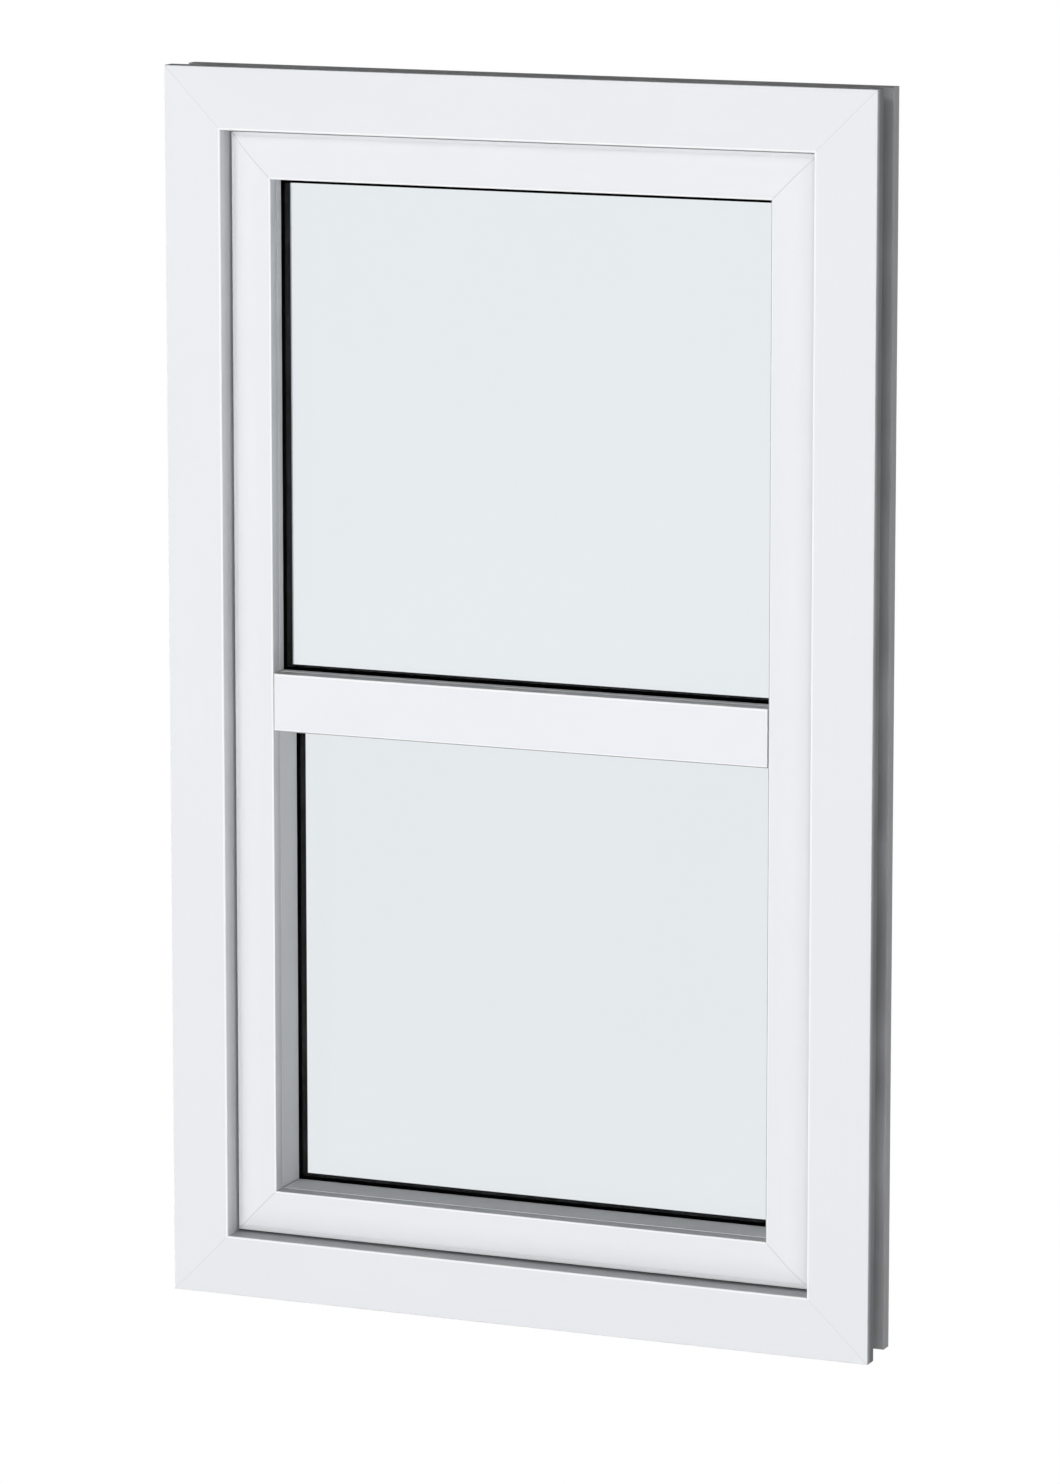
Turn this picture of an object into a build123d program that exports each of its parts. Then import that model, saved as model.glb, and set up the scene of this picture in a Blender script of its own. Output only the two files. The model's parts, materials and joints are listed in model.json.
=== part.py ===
"""Simulated hung window: a fixed vinyl window made to look like a single hung one.

The outside faces -Y, +X is to the right seen from outside and +Z is up. The origin is on the
rear face of the wall flange, halfway up the sill's flange, on the window's centre line.
"""
import os

from build123d import *

# Overall size
window_width = 610.0
window_height = 1016.0

# Frame section, counted inward from the outer edge and back from the front edge
face_width = 50.8
face_rise = 3.6
plate_thickness = 13.5
channel_depth = 22.0
front_to_wall = 54.0
flange_thickness = 12.2
flange_inset = 1.5
body_inset = 32.0
body_depth = 58.0
stop_projection = 9.0
nosing_radius = 1.2
plate_edge_radius = 0.8
flange_edge_radius = 1.0

# Sash section
sash_gap = 2.0
sash_width = 37.2
sash_setback = 7.4
sash_depth = 66.6
sash_wall = 12.5
sash_lip_width = 3.0
round_over_width = 24.0
round_over_drop = 6.0
sash_edge_radius = 0.8

# Meeting rail, the bar that looks like two sashes meeting
rail_height = 47.7
rail_drop = 9.0
rail_joint_gap = 0.8

# Glazing, with the upper glass forward of the lower glass
glazing_bite = 12.0
glass_edge_gap = 3.0
glass_top_gap = 4.4
stop_step = 0.3
upper_glass_setback = 19.8
lower_glass_setback = 44.2
pane_thickness = 3.0
spacer_depth = 10.3
spacer_sight = 2.6
bead_edge = 1.2
block_length = 100.0

# Weatherstrip between the frame and the sash
strip_setback = 12.0
strip_depth = 6.0

# Screw holes through the jambs, behind the wall flange
screw_radius = 2.5
screw_spacing = 660.0
screw_depth = 40.0

# Places that follow from the sizes above
front_y = -front_to_wall
sash_face_y = front_y + sash_setback
sash_rear_y = sash_face_y + sash_depth
wall_y = sash_face_y + sash_wall
unit_depth = 2 * pane_thickness + spacer_depth
bottom_z = -(flange_inset + body_inset) / 2
top_z = bottom_z + window_height
centre_z = (bottom_z + top_z) / 2
sash_inset = face_width + sash_gap
rail_top_z = centre_z - rail_drop + rail_height / 2
rail_bottom_z = rail_top_z - rail_height
sight_inset = sash_inset + sash_width
pocket_inset = sight_inset - glazing_bite

INTO_WALL = Vector(0, 1, 0)


def frame_section():
    """Front plate, siding channel, wall flange and the body that fills the wall opening."""
    with BuildSketch() as section:
        with BuildLine():
            Polyline(
                (0, front_y),
                (face_width, front_y - face_rise),
                (face_width, sash_rear_y),
                (face_width + stop_projection, sash_rear_y),
                (face_width + stop_projection, body_depth),
                (body_inset, body_depth),
                (body_inset, 0),
                (flange_inset, 0),
                (flange_inset, -flange_thickness),
                (channel_depth, -flange_thickness),
                (channel_depth, front_y + plate_thickness),
                (0, front_y + plate_thickness),
                close=True,
            )
        make_face()
        nosing = section.vertices().sort_by_distance((face_width, front_y - face_rise))[0]
        fillet(nosing, nosing_radius)
        plate_edge = section.vertices().sort_by_distance((0, front_y))[0]
        fillet(plate_edge, plate_edge_radius)
        flange_edge = section.vertices().sort_by_distance((flange_inset, -flange_thickness))[0]
        fillet(flange_edge, flange_edge_radius)
    return section.sketch


def sash_section():
    """A narrow lip and a rounded-over face, with the glazing pocket and the web behind."""
    lip_y = sash_face_y + round_over_drop
    with BuildSketch() as section:
        with BuildLine():
            Polyline((0, sash_rear_y), (0, lip_y), (sash_lip_width, lip_y))
            TangentArc((round_over_width, sash_face_y), (sash_lip_width, lip_y), tangent=(-1, 0))
            Polyline(
                (round_over_width, sash_face_y),
                (sash_width, sash_face_y),
                (sash_width, wall_y),
                (sash_width - glazing_bite, wall_y),
                (sash_width - glazing_bite, sash_rear_y),
                (0, sash_rear_y),
            )
        make_face()
        for corner in ((0, lip_y), (sash_width, sash_face_y)):
            fillet(section.vertices().sort_by_distance(corner)[0], sash_edge_radius)
    return section.sketch


def rectangle_section(inner, outer, front, rear):
    """A plain section from outer to inner, counted inward, and from front to rear."""
    with BuildSketch() as section:
        with Locations(((inner + outer) / 2, (front + rear) / 2)):
            Rectangle(inner - outer, rear - front)
    return section.sketch


def bead_section(front, rear):
    """A glazing bead that slopes from the glass back to a thin edge on the room side."""
    with BuildSketch() as section:
        with BuildLine():
            Polyline((0, front), (glazing_bite, front), (bead_edge, rear), (0, rear), close=True)
        make_face()
    return section.sketch


def mitred_bar(section, inset, side, low_z, high_z):
    """Run a section along one side of a rectangle and cut both its ends at 45 degrees.

    The rectangle lies inset from the window's sides, between the heights low_z and high_z.
    """
    half_width = window_width / 2 - inset
    mid_z = (low_z + high_z) / 2
    inward, origin, length = {
        "left": (Vector(1, 0, 0), Vector(-half_width, 0, mid_z), high_z - low_z),
        "right": (Vector(-1, 0, 0), Vector(half_width, 0, mid_z), high_z - low_z),
        "bottom": (Vector(0, 0, 1), Vector(0, 0, low_z), 2 * half_width),
        "top": (Vector(0, 0, -1), Vector(0, 0, high_z), 2 * half_width),
    }[side]
    along = inward.cross(INTO_WALL)
    with BuildPart() as bar:
        with BuildSketch(Plane(origin=origin, x_dir=inward, z_dir=along)):
            add(section)
        extrude(amount=length / 2, both=True)
        for end in (along, -along):
            corner = origin + end * (length / 2)
            split(bisect_by=Plane(origin=corner, z_dir=end + inward), keep=Keep.BOTTOM)
    return bar.part


def write_piece(part, label):
    part.label = label
    export_step(part, f"parts/{label}.step")


def make_frame():
    """Four mitred members, the jambs drilled for the screws into the wall's framing."""
    section = frame_section()
    names = {
        "top": "frame_head",
        "bottom": "frame_sill",
        "left": "frame_left_jamb",
        "right": "frame_right_jamb",
    }
    for side, label in names.items():
        bar = mitred_bar(section, 0, side, bottom_z, top_z)
        if side in ("left", "right"):
            bar = drill_jamb(bar)
        write_piece(bar, label)


def drill_jamb(jamb):
    """Two holes across a jamb, for screws into the framing of the wall opening."""
    with BuildPart() as drilled:
        add(jamb)
        with BuildSketch(Plane.YZ):
            with Locations((screw_depth, centre_z)):
                with GridLocations(0, screw_spacing, 1, 2):
                    Circle(screw_radius)
        extrude(amount=window_width, both=True, mode=Mode.SUBTRACT)
    return drilled.part


def make_weatherstrips():
    """The dark seals that fill the gap between the frame and the sash."""
    front = sash_face_y + strip_setback
    section = rectangle_section(sash_gap, 0, front, front + strip_depth)
    low_z = bottom_z + face_width
    high_z = top_z - face_width
    names = {"top": "head", "bottom": "sill", "left": "left", "right": "right"}
    for side, name in names.items():
        bar = mitred_bar(section, face_width, side, low_z, high_z)
        write_piece(bar, f"weatherstrip_{name}")


def make_sash():
    """Four mitred members with the meeting rail butted between the stiles."""
    section = sash_section()
    low_z = bottom_z + sash_inset
    high_z = top_z - sash_inset
    names = {
        "top": "sash_top_rail",
        "bottom": "sash_bottom_rail",
        "left": "sash_left_stile",
        "right": "sash_right_stile",
    }
    for side, label in names.items():
        write_piece(mitred_bar(section, sash_inset, side, low_z, high_z), label)


def make_meeting_rail():
    """A bar flush with the sash's face, with a glazing pocket above and one below."""
    plate_half = window_width / 2 - sight_inset - rail_joint_gap
    web_half = window_width / 2 - pocket_inset
    with BuildPart() as rail:
        with BuildSketch(Plane.XZ.offset(-sash_face_y)):
            with Locations((0, (rail_top_z + rail_bottom_z) / 2)):
                Rectangle(2 * plate_half, rail_height)
        extrude(amount=-sash_wall)
        with BuildSketch(Plane.XZ.offset(-wall_y)):
            with Locations((0, (rail_top_z + rail_bottom_z) / 2)):
                Rectangle(2 * web_half, rail_height - 2 * glazing_bite)
        extrude(amount=-(sash_rear_y - wall_y))
        long_edges = rail.edges().filter_by(Axis.X).group_by(Axis.Y)[0]
        fillet(long_edges, sash_edge_radius)
    write_piece(rail.part, "meeting_rail")


def make_glazing(name, low_z, high_z, glass_y):
    """One insulated glass unit with the stops before it and the beads behind it.

    low_z and high_z are the visible edges of its opening in the sash.
    """
    sides = ("top", "bottom", "left", "right")
    pocket_low = low_z - glazing_bite
    pocket_high = high_z + glazing_bite

    stop = rectangle_section(glazing_bite + stop_step, 0, wall_y, glass_y)
    bead = bead_section(glass_y + unit_depth, sash_rear_y)
    for side in sides:
        piece = mitred_bar(stop, pocket_inset, side, pocket_low, pocket_high)
        write_piece(piece, f"{name}_stop_{side}")
        piece = mitred_bar(bead, pocket_inset, side, pocket_low, pocket_high)
        write_piece(piece, f"{name}_bead_{side}")

    half_width = window_width / 2 - pocket_inset - glass_edge_gap
    glass_low = pocket_low + glass_edge_gap
    glass_high = pocket_high - glass_top_gap
    height = glass_high - glass_low
    middle_z = (glass_low + glass_high) / 2
    layers = {
        f"{name}_outer_pane": (glass_y, pane_thickness),
        f"{name}_inner_pane": (glass_y + pane_thickness + spacer_depth, pane_thickness),
        f"{name}_spacer": (glass_y + pane_thickness, spacer_depth),
    }
    spacer_width = glazing_bite + stop_step + spacer_sight - glass_edge_gap
    for label, (layer_y, thickness) in layers.items():
        with BuildPart() as layer:
            with BuildSketch(Plane.XZ.offset(-layer_y)):
                with Locations((0, middle_z)):
                    Rectangle(2 * half_width, height)
                    if label.endswith("spacer"):
                        Rectangle(
                            2 * (half_width - spacer_width),
                            height - 2 * spacer_width,
                            mode=Mode.SUBTRACT,
                        )
            extrude(amount=-thickness)
        write_piece(layer.part, label)

    make_setting_blocks(name, pocket_low, half_width, glass_y)


def make_setting_blocks(name, pocket_z, half_width, glass_y):
    """Two blocks that carry a glass unit clear of the bottom of its pocket."""
    with BuildPart() as blocks:
        with BuildSketch(Plane.XY.offset(pocket_z)):
            with Locations((0, glass_y + unit_depth / 2)):
                with GridLocations(half_width, 0, 2, 1):
                    Rectangle(block_length, unit_depth)
        extrude(amount=glass_edge_gap)
    write_piece(blocks.part, f"{name}_setting_blocks")


os.makedirs("parts", exist_ok=True)
make_frame()
make_weatherstrips()
make_sash()
make_meeting_rail()
make_glazing("upper", rail_top_z, top_z - sight_inset, sash_face_y + upper_glass_setback)
make_glazing("lower", bottom_z + sight_inset, rail_bottom_z, sash_face_y + lower_glass_setback)
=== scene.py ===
"""Simulated hung window in white vinyl: its finishes, a pale studio and the camera."""
import json
import math

import bpy
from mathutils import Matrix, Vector


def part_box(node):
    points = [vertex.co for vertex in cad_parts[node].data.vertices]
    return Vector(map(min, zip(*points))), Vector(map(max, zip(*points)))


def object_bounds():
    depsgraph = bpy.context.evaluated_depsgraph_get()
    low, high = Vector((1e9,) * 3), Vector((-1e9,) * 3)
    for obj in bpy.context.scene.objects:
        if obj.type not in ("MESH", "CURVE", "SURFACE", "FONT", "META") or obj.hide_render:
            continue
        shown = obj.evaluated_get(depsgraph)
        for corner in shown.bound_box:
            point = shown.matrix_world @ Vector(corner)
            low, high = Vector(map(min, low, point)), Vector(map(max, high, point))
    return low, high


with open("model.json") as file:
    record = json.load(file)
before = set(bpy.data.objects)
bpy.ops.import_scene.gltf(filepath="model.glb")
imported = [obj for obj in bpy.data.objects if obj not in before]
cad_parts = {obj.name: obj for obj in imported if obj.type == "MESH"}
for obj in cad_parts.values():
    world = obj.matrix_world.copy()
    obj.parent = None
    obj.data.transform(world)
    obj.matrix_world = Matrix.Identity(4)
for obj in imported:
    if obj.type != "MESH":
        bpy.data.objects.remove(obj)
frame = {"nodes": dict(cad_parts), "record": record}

CAD_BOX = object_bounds()

# The window's own measures, read from the frame. NOSING is the rectangle round which the
# frame's face ends, and SIGHT is the one inside which the glass shows.
LOW, HIGH = CAD_BOX
CENTRE = (LOW + HIGH) / 2
FRAME_FACE_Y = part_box("frame_head")[0].y
SASH_FACE_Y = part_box("sash_top_rail")[0].y
SASH_LOW_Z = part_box("sash_bottom_rail")[0].z
RAIL_LOW_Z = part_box("meeting_rail")[0].z
RAIL_HIGH_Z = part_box("meeting_rail")[1].z
NOSING = (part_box("weatherstrip_left")[0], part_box("weatherstrip_right")[1])
SIGHT = (
    Vector((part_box("upper_stop_left")[1].x, 0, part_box("lower_stop_bottom")[1].z)),
    Vector((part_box("upper_stop_right")[0].x, 0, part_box("upper_stop_top")[0].z)),
)

# The camera, which was fitted to the photograph's straight edges
IMAGE_HEIGHT = 1484
FOCAL_PIXELS = 6734.2
SENSOR_MM = 36.0
SHIFT_Y = -0.1
CAMERA_PLACE = Vector((2.048, -4.953, 1.444))
CAMERA_AZIMUTH = 22.545
CAMERA_PITCH = 9.175

# Colours of the vinyl: clean, dust with painted shade behind the face and on ledges, painted
# shade in the siding channel, a painted highlight on edges, and dark lines, some welds and some
# painted shade
WHITE = (0.80, 0.812, 0.837)
RAIL_WHITE = (0.818, 0.836, 0.868)
REVEAL_DUST_AND_SHADE = (0.63, 0.637, 0.65)
CHANNEL_PAINTED_SHADE = (0.33, 0.334, 0.342)
LINER_DUST_AND_SHADE = (0.75, 0.76, 0.775)
LEDGE_DUST_AND_SHADE = (0.48, 0.487, 0.497)
LINER_LEDGE_DUST_AND_SHADE = (0.67, 0.68, 0.69)
EDGE_PAINTED_HIGHLIGHT = (0.90, 0.908, 0.92)
SEAM_AND_SHADE_LINE_COLOUR = (0.30, 0.306, 0.315)
PATCH_SHADE = 0.985
STREAK_SHADE = 0.99

# The vinyl's noises, in waves per metre. STREAK_PULL draws the streaks out along a profile.
STREAK_SCALE = 900.0
STREAK_PULL = 0.004
GRAIN_SCALE = 1500.0
PATCH_SCALE = 9.0

# Between which values a noise, which lies mostly from 0.3 to 0.7, starts and stops counting
PATCH_RANGE = (0.3, 0.7)
STREAK_RANGE = (0.35, 0.75)
ROUGH_RANGE = (0.3, 0.7)
DUST_AND_SHADE_RANGE = (0.1, 0.7)
SETTLED_AND_SHADE_RANGE = (0.2, 0.7)
WIPE_RANGE = (0.4, 0.8)

# How much of the dust and painted shade is left where it is thinnest
DUST_AND_SHADE_LEAST = 0.6
SETTLED_AND_SHADE_LEAST = 0.85

# How far behind the face dust and painted shade begin and are full, and how steeply a ledge
# faces up
DUST_AND_SHADE_DEPTH = (0.003, 0.012)
LEDGE_SLOPE = (0.6, 0.95)

# The vinyl's gloss and relief, with heights in metres
VINYL_ROUGHNESS = (0.36, 0.45)
DUST_ROUGHNESS = 0.12
VINYL_GLOSS = 0.4
VINYL_RELIEF = 0.00002
GRAIN_SHARE = 0.6
LINE_SHARE = 3.0

# How strongly thin lines show, from 0 to 1: the seams are dark welds, the rail and stile lines
# painted shade
FRAME_SEAM = 0.2
SASH_SEAM = 0.45
LINER_SEAM = 1.0
RAIL_LINE = 0.85
STILE_LINE = 0.7

# Where marks lie and how wide they are, in metres. Dust and painted shade end within ROOM_FADE
# of ROOM_SIDE, or of the glass on the stops and beads round it.
SEAM_CORE = 0.00015
SEAM_EDGE = 0.0006
LINE_WIDTH = 0.001
RIM_WIDTH = 0.002
SOFT_SIDE = 0.0002
EDGE_START = 0.0003
SASH_RIM_START = 0.0006
LIP_HEIGHT = 0.006
CHANNEL_EDGE = (0.004, 0.006)
FLANGE_FRONT = -0.0118
ROOM_SIDE = 0.002
ROOM_FADE = 0.006

# The seals and the spacers
RUBBER = (0.022, 0.022, 0.024)
RUBBER_BLOOM = 1.8
RUBBER_PORE_SCALE = 2500.0
RUBBER_BLOOM_SCALE = 30.0
RUBBER_ROUGHNESS = (0.7, 0.85)
RUBBER_GLOSS = 0.3
RUBBER_RELIEF = 0.00008
SPACER_BLACK = (0.008, 0.008, 0.009)
SPACER_WIPE = 1.4
SPACER_PORE_SCALE = 1800.0
SPACER_WIPE_SCALE = 60.0
SPACER_ROUGHNESS = (0.8, 0.95)
SPACER_GLOSS = 0.1
SPACER_RELIEF = 0.00003

# The glass
UPPER_GLASS = (0.897, 0.918, 0.932)
LOWER_GLASS = (0.889, 0.910, 0.923)
GLASS_REFLECTION = (0.1, 0.1, 0.1)
GLASS_IOR = 1.5
DRIFT_SHADE = 0.996
DRIFT_SCALE = 2.5
WAVE_SCALE = 6.0
WAVE_RELIEF = 0.0002

# The studio. The floor is pure white beyond a soft disc that takes the window's shadow, and
# the world's reflection changes where a ray's direction turns from the front to the back.
FLOOR_DROP = 0.9
FLOOR_SIZE = 60.0
FLOOR_GREY = (0.3, 0.3, 0.3)
FLOOR_LIGHT = 0.85
SHADOW_REACH = (1.0, 2.2)
AMBIENT = 0.03
MIRROR_FRONT = 0.02
MIRROR_BACK = 0.1
MIRROR_TURN = (-0.6, 0.4)
MIRROR_FLOOR = 0.2
GLOW_SKY = 1.5
GLOW_FLOOR = 3.8

# Soft boxes aimed at the window. Azimuth 0 is straight in front and 90 is to +X.
# name, azimuth, elevation, distance, width, height, level
LAMPS = (
    ("key_left", -20, 1, 8.0, 3.2, 2.2, 0.425),
    ("key_right", 20, 1, 8.0, 3.2, 2.2, 0.335),
    ("top_fill", 0, 25, 8.0, 3.0, 1.2, 0.2),
    ("right_fill", 50, 0, 7.0, 2.4, 2.4, 0.075),
    ("left_fill", -50, 0, 7.0, 2.4, 2.4, 0.06),
    ("right_side", 97, 0, 7.0, 2.4, 2.4, 0.06),
    ("left_side", -97, 0, 7.0, 2.4, 2.4, 0.4),
    ("back_fill", 180, 8, 7.0, 4.0, 2.2, 0.76),
    ("back_top", 180, 50, 7.0, 3.0, 2.0, 0.25),
)


class Nodes:
    """A short way to add and link shader nodes in one tree."""

    def __init__(self, tree):
        self.tree = tree
        tree.nodes.clear()

    def add(self, kind, settings=None, **inputs):
        """Add a node, set its properties, then set or link its inputs by name."""
        node = self.tree.nodes.new(kind)
        for name, value in (settings or {}).items():
            setattr(node, name, value)
        for name, value in inputs.items():
            self.put(node, name.replace("_", " "), value)
        return node

    def put(self, node, name, value):
        """Set one input, given by name or number, or link it to an output."""
        socket = node.inputs[name]
        if isinstance(value, bpy.types.NodeSocket):
            self.tree.links.new(value, socket)
        elif hasattr(value, "__len__") and len(value) == 3 and len(socket.default_value) == 4:
            socket.default_value = (*value, 1)
        else:
            socket.default_value = value

    def math(self, operation, first, second=0.0):
        node = self.add("ShaderNodeMath", {"operation": operation})
        self.put(node, 0, first)
        self.put(node, 1, second)
        return node.outputs[0]

    def place(self, stretch=(1, 1, 1)):
        """The point's place in the window's frame, in metres, stretched along the axes."""
        place = self.add("ShaderNodeTexCoord").outputs["Object"]
        node = self.add("ShaderNodeVectorMath", {"operation": "MULTIPLY"})
        self.put(node, 0, place)
        self.put(node, 1, stretch)
        return node.outputs[0]

    def split(self, vector):
        node = self.add("ShaderNodeSeparateXYZ", Vector=vector)
        return node.outputs["X"], node.outputs["Y"], node.outputs["Z"]

    def noise(self, vector, scale, detail=2.0):
        node = self.add("ShaderNodeTexNoise", Vector=vector, Scale=scale, Detail=detail)
        return node.outputs["Fac"]

    def ramp(self, value, start, end, low=0.0, high=1.0):
        """Go smoothly from low to high as the value goes from start to end."""
        node = self.add("ShaderNodeMapRange", {"interpolation_type": "SMOOTHSTEP"})
        for index, number in enumerate((value, start, end, low, high)):
            self.put(node, index, number)
        return node.outputs[0]

    def fall(self, value, start, end):
        """Go smoothly from 1 to 0 as the value goes from start to end."""
        return self.ramp(value, start, end, 1.0, 0.0)

    def strip(self, value, start, end):
        """1 where the value lies between start and end, with soft sides, else 0."""
        rise = self.ramp(value, start, start + SOFT_SIDE)
        fall = self.fall(value, end - SOFT_SIDE, end)
        return self.math("MULTIPLY", rise, fall)

    def blend(self, factor, first, second):
        """Mix two colours."""
        node = self.add("ShaderNodeMix", {"data_type": "RGBA"})
        self.put(node, 0, factor)
        self.put(node, 6, first)
        self.put(node, 7, second)
        return node.outputs[2]

    def bump(self, height, distance):
        node = self.add("ShaderNodeBump", Height=height, Distance=distance)
        return node.outputs[0]

    def mix_shaders(self, factor, first, second):
        node = self.add("ShaderNodeMixShader")
        for index, value in enumerate((factor, first, second)):
            self.put(node, index, value)
        return node.outputs[0]

    def finish(self, shader, kind="ShaderNodeOutputMaterial"):
        output = self.add(kind)
        self.put(output, "Surface", shader)


def new_material(name):
    material = bpy.data.materials.new(name)
    material.use_nodes = True
    return material, Nodes(material.node_tree)


def shade(colour, share):
    return [part * share for part in colour]


def past_sides(nodes, ring):
    """How far a point lies outside a rectangle, across its sides and beyond its ends."""
    low, high = ring
    x, _, z = nodes.split(nodes.place())
    across = nodes.math("SUBTRACT", nodes.math("ABSOLUTE", x), high.x)
    height = nodes.math("ABSOLUTE", nodes.math("SUBTRACT", z, (low.z + high.z) / 2))
    return across, nodes.math("SUBTRACT", height, (high.z - low.z) / 2)


def past_edge(nodes, ring):
    return nodes.math("MAXIMUM", *past_sides(nodes, ring))


def mitre_seam(nodes, ring, strength):
    """The strength on the planes of the ring's welded corners, else 0."""
    away = nodes.math("ABSOLUTE", nodes.math("SUBTRACT", *past_sides(nodes, ring)))
    return nodes.ramp(away, SEAM_CORE, SEAM_EDGE, strength, 0.0)


def frame_marks(nodes):
    """The frame: a painted highlight on the nosing, faint welds and painted shade in the siding
    channel.
    """
    past = past_edge(nodes, NOSING)
    _, y, _ = nodes.split(nodes.place())
    # Painted shadow: the siding channel's front face and ledges are darkened where the front
    # plate shades them
    outside = nodes.ramp(past, *CHANNEL_EDGE)
    before_flange = nodes.fall(y, FLANGE_FRONT, FLANGE_FRONT + SOFT_SIDE)
    channel = nodes.math("MULTIPLY", outside, before_flange)
    return {
        "dusty": nodes.blend(channel, REVEAL_DUST_AND_SHADE, CHANNEL_PAINTED_SHADE),
        "ledge": nodes.blend(outside, LEDGE_DUST_AND_SHADE, CHANNEL_PAINTED_SHADE),
        "rim": nodes.strip(past, EDGE_START, RIM_WIDTH),
        "line": mitre_seam(nodes, NOSING, FRAME_SEAM),
    }


def sash_marks(nodes):
    """The sash: a painted highlight on its inner edge, welds and painted shade on its low lip.
    """
    _, _, z = nodes.split(nodes.place())
    return {
        "rim": nodes.strip(past_edge(nodes, SIGHT), SASH_RIM_START, RIM_WIDTH),
        "grime": nodes.fall(z, SASH_LOW_Z, SASH_LOW_Z + LIP_HEIGHT),
        "line": mitre_seam(nodes, SIGHT, SASH_SEAM),
    }


def right_stile_marks(nodes):
    """The same, with a line of painted shade along the edge that stands against the glass."""
    marks = sash_marks(nodes)
    across, _ = past_sides(nodes, SIGHT)
    edge = nodes.strip(across, EDGE_START, EDGE_START + LINE_WIDTH)
    shade_line = nodes.math("MULTIPLY", edge, STILE_LINE)
    marks["line"] = nodes.math("MAXIMUM", marks["line"], shade_line)
    return marks


def rail_marks(nodes):
    """The meeting rail: painted highlights on its long edges and a line of painted shade along
    the lower one.
    """
    _, _, z = nodes.split(nodes.place())
    middle = (RAIL_LOW_Z + RAIL_HIGH_Z) / 2
    half = (RAIL_HIGH_Z - RAIL_LOW_Z) / 2
    from_middle = nodes.math("ABSOLUTE", nodes.math("SUBTRACT", z, middle))
    edge = nodes.strip(z, RAIL_LOW_Z, RAIL_LOW_Z + LINE_WIDTH)
    return {
        "white": RAIL_WHITE,
        "rim": nodes.strip(from_middle, half - RIM_WIDTH, half - EDGE_START),
        "line": nodes.math("MULTIPLY", edge, RAIL_LINE),
    }


def liner_marks(unit):
    """The stops and beads round one glass unit, which take lighter dust and painted shade and
    meet in open mitres.
    """
    ring = (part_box(f"{unit}_stop_left")[0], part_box(f"{unit}_stop_right")[1])
    glass_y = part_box(f"{unit}_outer_pane")[0].y

    def marks(nodes):
        return {
            "dusty": LINER_DUST_AND_SHADE,
            "ledge": LINER_LEDGE_DUST_AND_SHADE,
            "room_y": glass_y,
            "line": mitre_seam(nodes, ring, LINER_SEAM),
        }

    return marks


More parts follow.
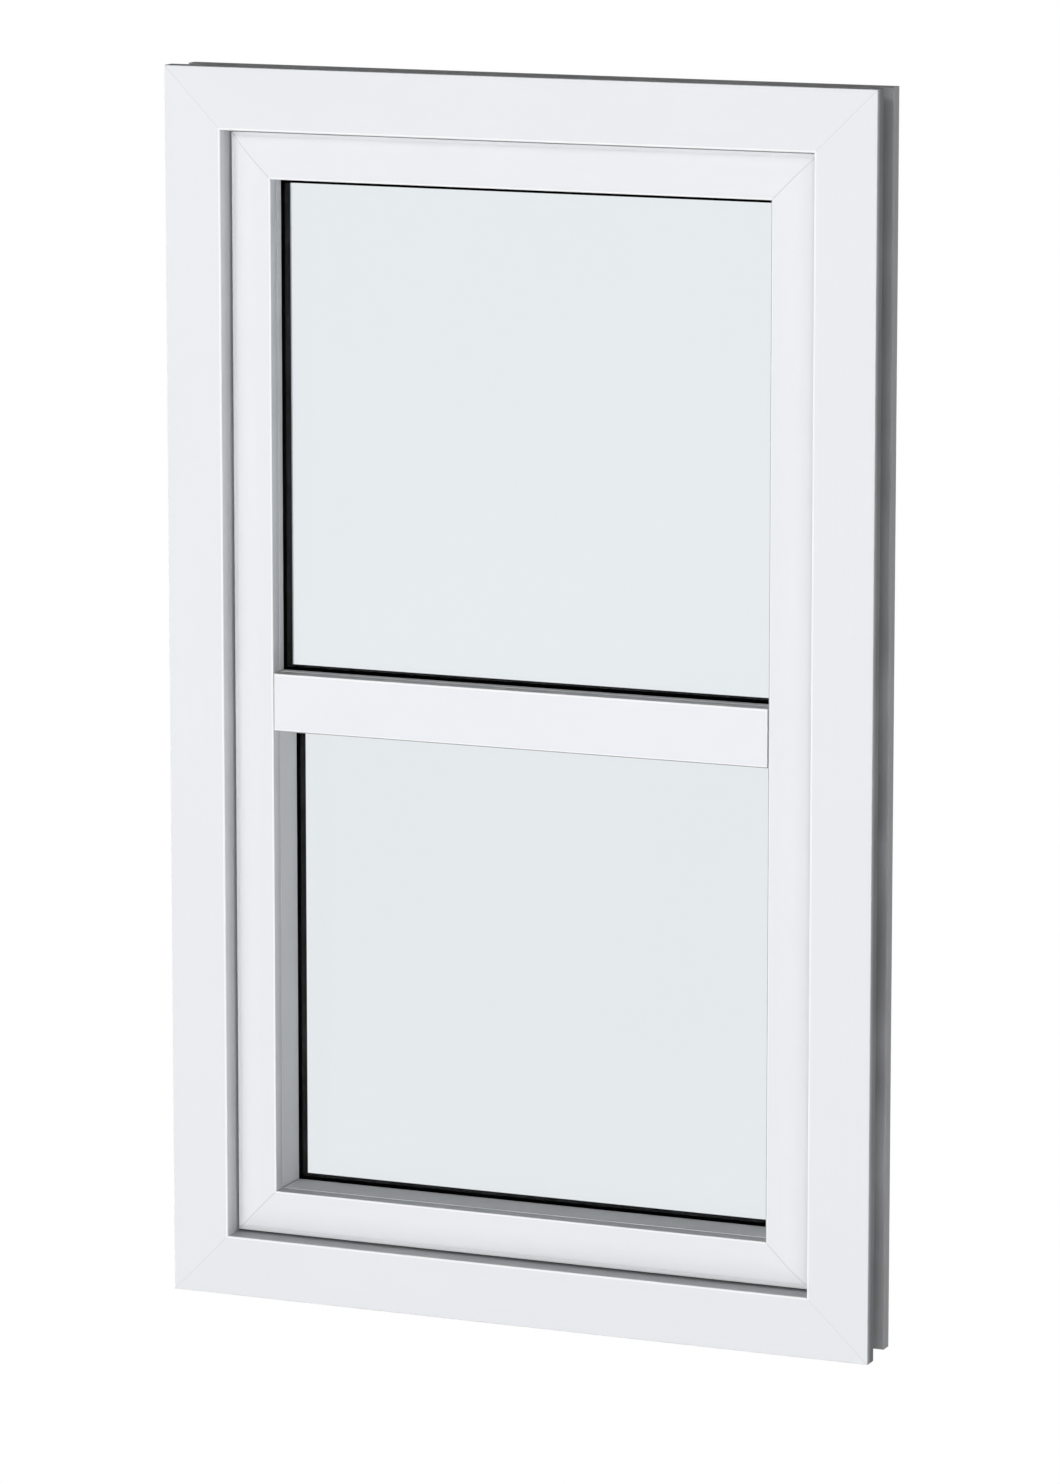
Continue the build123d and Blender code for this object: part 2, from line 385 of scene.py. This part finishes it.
def vinyl(name, upright, face_y, marks_on):
    """Satin vinyl with die lines along the profile.

    Dust with painted shade lies on the weather side only, behind the face and on the ledges. The
    marks say what differs from one kind of piece to another: its colours, where the room side
    starts, a rim with a painted highlight, painted shade that adds to the ledges, and thin dark
    lines, some welds and some painted shade.
    """
    material, nodes = new_material(name)
    marks = {
        "white": WHITE,
        "dusty": REVEAL_DUST_AND_SHADE,
        "ledge": LEDGE_DUST_AND_SHADE,
        "room_y": ROOM_SIDE,
        "rim": 0.0,
        "grime": 0.0,
    } | marks_on(nodes)
    along = (1, 1, STREAK_PULL) if upright else (STREAK_PULL, 1, 1)
    streaks = nodes.noise(nodes.place(along), STREAK_SCALE)
    grain = nodes.noise(nodes.place(), GRAIN_SCALE, 3.0)
    patches = nodes.noise(nodes.place(), PATCH_SCALE, 4.0)
    _, y, _ = nodes.split(nodes.place())
    _, _, up = nodes.split(nodes.add("ShaderNodeNewGeometry").outputs["Normal"])

    white = marks["white"]
    colour = nodes.blend(nodes.ramp(patches, *PATCH_RANGE), white, shade(white, PATCH_SHADE))
    streaky = nodes.ramp(streaks, *STREAK_RANGE)
    colour = nodes.blend(streaky, colour, shade(white, STREAK_SHADE))

    # Dust with painted shade: the vinyl behind the face is darkened, on the weather side only
    start, full = DUST_AND_SHADE_DEPTH
    face = nodes.fall(y, face_y + start, face_y + full)
    outdoors = nodes.fall(y, marks["room_y"], marks["room_y"] + ROOM_FADE)
    dust_and_shade_mask = nodes.math("MULTIPLY", outdoors, nodes.math("SUBTRACT", 1.0, face))
    dust_and_shade_mask = nodes.math("MULTIPLY", dust_and_shade_mask, nodes.ramp(patches, *DUST_AND_SHADE_RANGE, DUST_AND_SHADE_LEAST, 1.0))
    colour = nodes.blend(dust_and_shade_mask, colour, marks["dusty"])

    # Up-facing ledges are darker: settled dust together with painted shade
    settled_and_shaded = nodes.math("MAXIMUM", nodes.ramp(up, *LEDGE_SLOPE), marks["grime"])
    thickness = nodes.ramp(patches, *SETTLED_AND_SHADE_RANGE, SETTLED_AND_SHADE_LEAST, 1.0)
    settled_and_shaded = nodes.math("MULTIPLY", settled_and_shaded, thickness)
    settled_and_shaded = nodes.math("MULTIPLY", settled_and_shaded, outdoors)
    colour = nodes.blend(settled_and_shaded, colour, marks["ledge"])
    # Painted highlight: a lighter colour along the rim of the nosing and inner edges, on the
    # face only
    colour = nodes.blend(nodes.math("MULTIPLY", marks["rim"], face), colour, EDGE_PAINTED_HIGHLIGHT)
    # Dark lines: welds, and painted shade along some edges
    colour = nodes.blend(marks["line"], colour, SEAM_AND_SHADE_LINE_COLOUR)

    height = nodes.math("ADD", nodes.math("MULTIPLY", grain, GRAIN_SHARE), streaks)
    height = nodes.math("SUBTRACT", height, nodes.math("MULTIPLY", marks["line"], LINE_SHARE))
    rough = nodes.ramp(streaks, *ROUGH_RANGE, *VINYL_ROUGHNESS)
    shader = nodes.add(
        "ShaderNodeBsdfPrincipled",
        Base_Color=colour,
        Roughness=nodes.math("ADD", rough, nodes.math("MULTIPLY", dust_and_shade_mask, DUST_ROUGHNESS)),
        Specular_IOR_Level=VINYL_GLOSS,
        Normal=nodes.bump(height, VINYL_RELIEF),
    )
    nodes.finish(shader.outputs[0])
    return material


def rubber(name):
    """Matt dark weatherstrip with fine pores and a paler bloom."""
    material, nodes = new_material(name)
    pores = nodes.noise(nodes.place(), RUBBER_PORE_SCALE, 3.0)
    bloom = nodes.noise(nodes.place(), RUBBER_BLOOM_SCALE, 4.0)
    pale = nodes.ramp(bloom, *WIPE_RANGE)
    shader = nodes.add(
        "ShaderNodeBsdfPrincipled",
        Base_Color=nodes.blend(pale, RUBBER, shade(RUBBER, RUBBER_BLOOM)),
        Roughness=nodes.ramp(bloom, *ROUGH_RANGE, *RUBBER_ROUGHNESS),
        Specular_IOR_Level=RUBBER_GLOSS,
        Normal=nodes.bump(pores, RUBBER_RELIEF),
    )
    nodes.finish(shader.outputs[0])
    return material


def sealant_black(name):
    """The black spacer bar, with fine pores that lead to the drying beads inside it."""
    material, nodes = new_material(name)
    pores = nodes.noise(nodes.place(), SPACER_PORE_SCALE, 2.0)
    wipe = nodes.noise(nodes.place(), SPACER_WIPE_SCALE, 3.0)
    wiped = nodes.ramp(wipe, *WIPE_RANGE)
    shader = nodes.add(
        "ShaderNodeBsdfPrincipled",
        Base_Color=nodes.blend(wiped, SPACER_BLACK, shade(SPACER_BLACK, SPACER_WIPE)),
        Roughness=nodes.ramp(pores, *ROUGH_RANGE, *SPACER_ROUGHNESS),
        Specular_IOR_Level=SPACER_GLOSS,
        Normal=nodes.bump(pores, SPACER_RELIEF),
    )
    nodes.finish(shader.outputs[0])
    return material


def clear_glass(name, tint):
    """Float glass with a faint drift in its tint and the slight waves of a large pane."""
    material, nodes = new_material(name)
    drift = nodes.noise(nodes.place(), DRIFT_SCALE, 2.0)
    waves = nodes.noise(nodes.place(), WAVE_SCALE, 1.0)
    drifted = nodes.ramp(drift, *PATCH_RANGE)
    shader = nodes.add(
        "ShaderNodeBsdfPrincipled",
        Base_Color=nodes.blend(drifted, tint, shade(tint, DRIFT_SHADE)),
        Roughness=0.0,
        IOR=GLASS_IOR,
        Specular_Tint=GLASS_REFLECTION,
        Transmission_Weight=1.0,
        Normal=nodes.bump(waves, WAVE_RELIEF),
    )
    nodes.finish(shader.outputs[0])
    return material


def is_upright(name):
    return name.endswith(("left", "right", "jamb", "stile"))


def finish_title(name, slot):
    """The title of a node's finish: nodes with the same title share it."""
    if name in ("meeting_rail", "sash_right_stile"):
        return f"{name}_{slot}"
    title = slot
    if slot in ("glazing_vinyl", "glass"):
        title = name.split("_")[0] + "_" + slot
    if slot.endswith("vinyl"):
        title += "_upright" if is_upright(name) else "_level"
    return title


def make_finish(title, name, slot):
    if slot == "weatherstrip":
        return rubber(title)
    if slot == "spacer":
        return sealant_black(title)
    unit = name.split("_")[0]
    if slot == "glass":
        return clear_glass(title, {"upper": UPPER_GLASS, "lower": LOWER_GLASS}[unit])
    marks_on = {"meeting_rail": rail_marks, "sash_right_stile": right_stile_marks}.get(name)
    if slot == "glazing_vinyl":
        marks_on = liner_marks(unit)
    elif marks_on is None:
        marks_on = {"frame_vinyl": frame_marks, "sash_vinyl": sash_marks}[slot]
    face_y = FRAME_FACE_Y if slot == "frame_vinyl" else SASH_FACE_Y
    return vinyl(title, is_upright(name), face_y, marks_on)


def dress():
    """Give every node of the frame its finish, made once for all that share it."""
    slots = {part["node"]: part["material_slot"] for part in frame["record"]["subparts"]}
    made = {}
    for name, node in frame["nodes"].items():
        title = finish_title(name, slots[name])
        if title not in made:
            made[title] = make_finish(title, name, slots[name])
        for slot in node.material_slots:
            slot.material = made[title]


def towards(azimuth, elevation):
    """The direction from the window to what stands at these angles, in degrees."""
    around = math.radians(azimuth)
    above = math.radians(elevation)
    return Vector(
        (
            math.sin(around) * math.cos(above),
            -math.cos(around) * math.cos(above),
            math.sin(above),
        )
    )


def make_camera():
    data = bpy.data.cameras.new("camera")
    data.sensor_width = SENSOR_MM
    data.lens = FOCAL_PIXELS / IMAGE_HEIGHT * SENSOR_MM
    data.shift_y = SHIFT_Y
    camera = bpy.data.objects.new("camera", data)
    bpy.context.scene.collection.objects.link(camera)
    camera.location = CAMERA_PLACE
    backward = towards(CAMERA_AZIMUTH, CAMERA_PITCH)
    camera.rotation_euler = backward.to_track_quat("Z", "Y").to_euler()
    bpy.context.scene.camera = camera


def by_ray(nodes, lit, mirrored, glow, white):
    """Choose by the kind of ray.

    White shows to the camera, also through glass. Glow is what reaches the window's inner
    edges through its glass, mirrored is what shows in reflections, and lit is all else.
    """
    path = nodes.add("ShaderNodeLightPath").outputs
    glass = path["Is Transmission Ray"]
    bounced = nodes.math("GREATER_THAN", path["Diffuse Depth"], 0.5)
    direct = nodes.math("MULTIPLY", glass, nodes.math("SUBTRACT", 1.0, bounced))
    no_glass = nodes.math("SUBTRACT", 1.0, glass)
    gloss = nodes.math("MULTIPLY", path["Is Glossy Ray"], no_glass)
    shader = nodes.mix_shaders(gloss, lit, mirrored)
    shader = nodes.mix_shaders(nodes.math("MULTIPLY", glass, bounced), shader, glow)
    return nodes.mix_shaders(nodes.math("MAXIMUM", path["Is Camera Ray"], direct), shader, white)


def make_world():
    world = bpy.data.worlds.new("studio")
    world.use_nodes = True
    bpy.context.scene.world = world
    nodes = Nodes(world.node_tree)

    def light(strength):
        return nodes.add("ShaderNodeBackground", Color=(1, 1, 1), Strength=strength).outputs[0]

    _, y, _ = nodes.split(nodes.add("ShaderNodeTexCoord").outputs["Generated"])
    mirror = nodes.ramp(y, *MIRROR_TURN, MIRROR_FRONT, MIRROR_BACK)
    shader = by_ray(nodes, light(AMBIENT), light(mirror), light(GLOW_SKY), light(1.0))
    nodes.finish(shader, "ShaderNodeOutputWorld")


def make_floor():
    half = FLOOR_SIZE / 2
    mesh = bpy.data.meshes.new("floor")
    corners = [(-half, -half, 0), (half, -half, 0), (half, half, 0), (-half, half, 0)]
    mesh.from_pydata(corners, [], [(0, 1, 2, 3)])
    floor = bpy.data.objects.new("floor", mesh)
    bpy.context.scene.collection.objects.link(floor)
    floor.location.z = LOW.z - FLOOR_DROP
    material, nodes = new_material("floor_finish")

    def light(strength):
        return nodes.add("ShaderNodeEmission", Strength=strength).outputs[0]

    matt = nodes.add("ShaderNodeBsdfDiffuse", Color=FLOOR_GREY).outputs[0]
    reach = nodes.add("ShaderNodeVectorMath", {"operation": "LENGTH"})
    nodes.put(reach, 0, nodes.place())
    far = nodes.ramp(reach.outputs["Value"], *SHADOW_REACH)
    near = nodes.add("ShaderNodeAddShader")
    nodes.put(near, 0, matt)
    nodes.put(near, 1, light(FLOOR_LIGHT))
    seen = nodes.mix_shaders(far, near.outputs[0], light(1.0))
    nodes.finish(by_ray(nodes, matt, light(MIRROR_FLOOR), light(GLOW_FLOOR), seen))
    mesh.materials.append(material)


def soft_box(name, azimuth, elevation, distance, width, height, level):
    """A broad lamp aimed at the window. A white face turned to it renders at the level."""
    data = bpy.data.lights.new(name, "AREA")
    data.shape = "RECTANGLE"
    data.size = width
    data.size_y = height
    data.energy = level * (math.pi * distance) ** 2
    light = bpy.data.objects.new(name, data)
    bpy.context.scene.collection.objects.link(light)
    source = towards(azimuth, elevation)
    light.location = CENTRE + source * distance
    light.rotation_euler = source.to_track_quat("Z", "Y").to_euler()
    light.visible_camera = False
    light.visible_glossy = False
    light.visible_transmission = False


dress()
make_camera()
make_world()
make_floor()
for lamp in LAMPS:
    soft_box(*lamp)
bpy.context.scene.view_settings.view_transform = "Standard"
